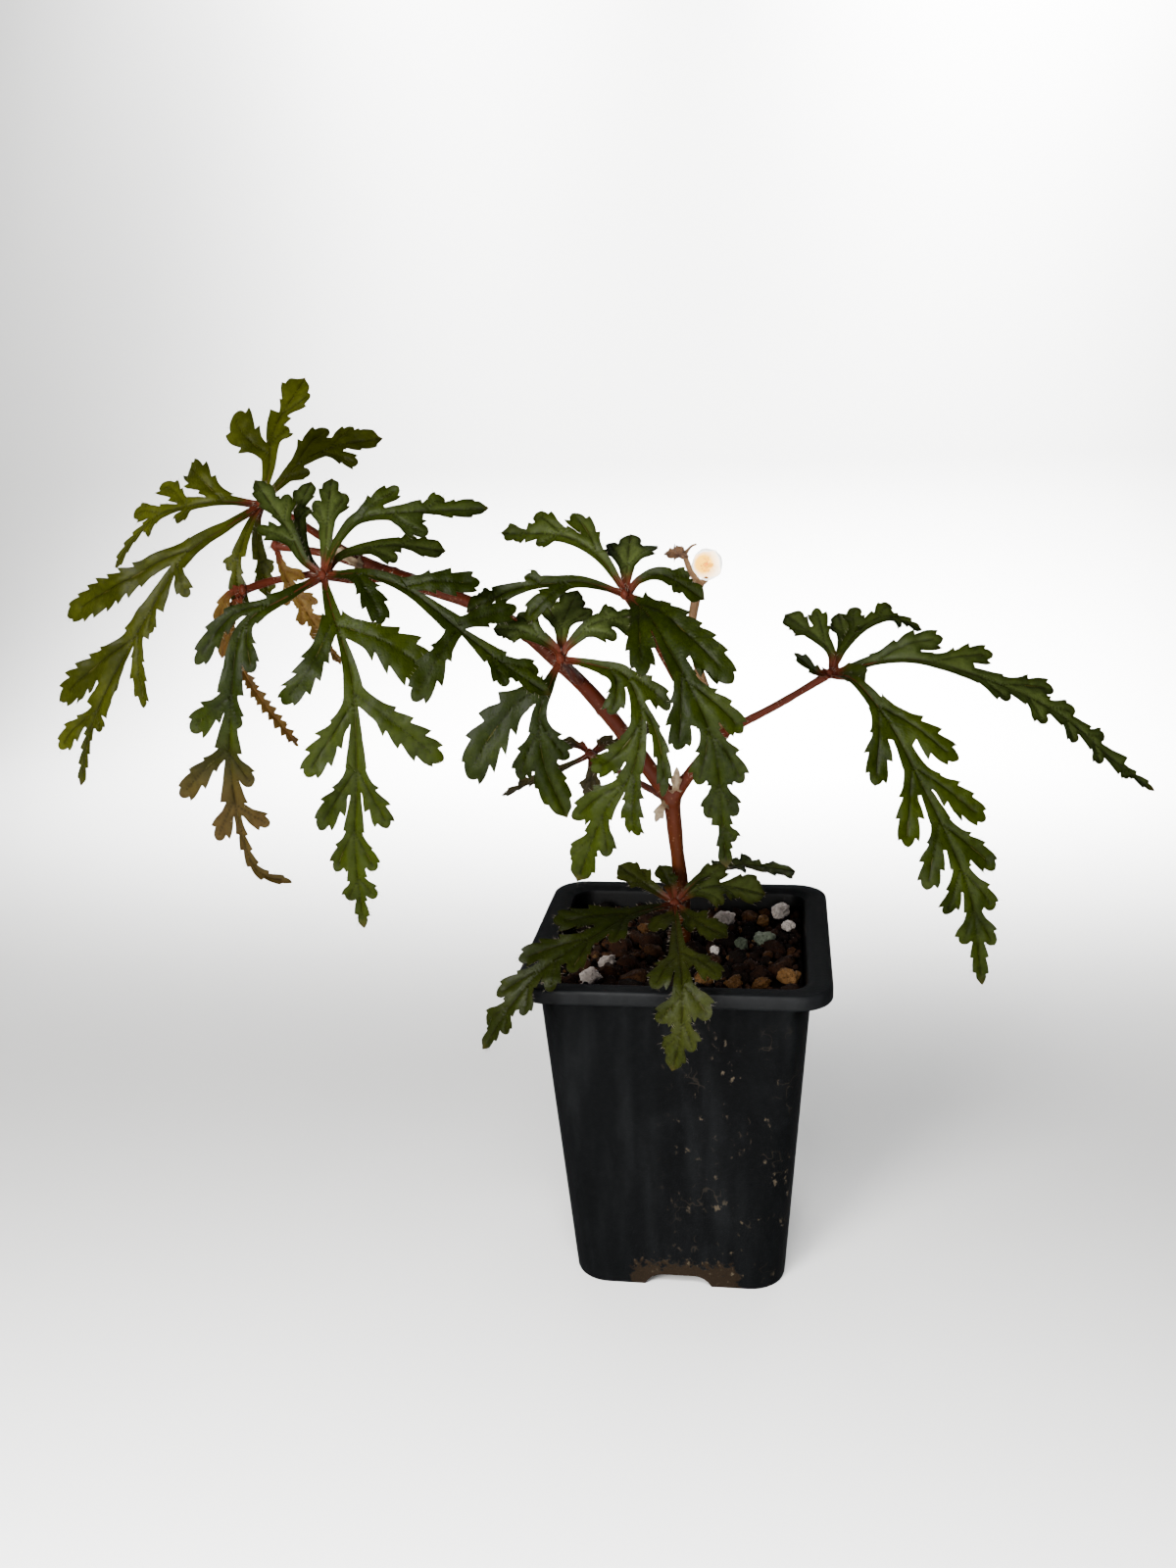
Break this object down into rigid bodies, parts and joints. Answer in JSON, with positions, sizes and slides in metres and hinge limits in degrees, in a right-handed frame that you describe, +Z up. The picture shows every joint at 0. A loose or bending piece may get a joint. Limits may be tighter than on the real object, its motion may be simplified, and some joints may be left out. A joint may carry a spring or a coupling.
{
  "type": "potted plant",
  "caption": "Cut-leaved begonia on a leaning forked stem with drooping lobed leaves and a small white bloom, in a square black nursery pot of grit.",
  "frame": {"origin": "middle of the flat underside of the pot", "axes": "+Z up along the pot, +X to the viewer's right across the pot's front, -Y towards the viewer of the picture"},
  "size_m": [0.2469, 0.1124, 0.2102],
  "materials": {
    "pot": "satin black moulded plastic",
    "soil": "matte dark lava grit",
    "pumice": "matte",
    "zeolite": "matte",
    "clay": "matte fired clay",
    "stem": "satin red-brown",
    "leaf": "satin dark green with fine hairs",
    "young_leaf": "satin bronze",
    "scale": "matte dry",
    "peduncle": "satin tan",
    "petal": "matte white",
    "stamen": "matte yellow"
  },
  "bodies": {
    "root": {"bract_branch_tip": "scale", "clay_pebble_1": "clay", "clay_pebble_2": "clay", "clay_pebble_3": "clay", "clay_pebble_4": "clay", "clay_pebble_5": "clay", "clay_pebble_6": "clay", "dried_bract": "scale", "green_stone_1": "zeolite", "green_stone_2": "zeolite", "leaf_back": "leaf", "leaf_base": "leaf", "leaf_middle_front": "leaf", "leaf_middle_upper": "leaf", "leaf_right": "leaf", "leaf_tip_front": "leaf", "leaf_tip_upper": "leaf", "peduncle": "peduncle", "pot": "pot", "pumice_1": "pumice", "pumice_2": "pumice", "pumice_3": "pumice", "pumice_4": "pumice", "pumice_5": "pumice", "pumice_6": "pumice", "pumice_7": "pumice", "soil": "soil", "stamens": "stamen", "stem": "stem", "stipule_fork_lower": "scale", "stipule_fork_upper": "scale", "tepals": "petal", "young_leaf_bronze": "young_leaf", "young_leaf_folded": "young_leaf"}
  },
  "joints": []
}
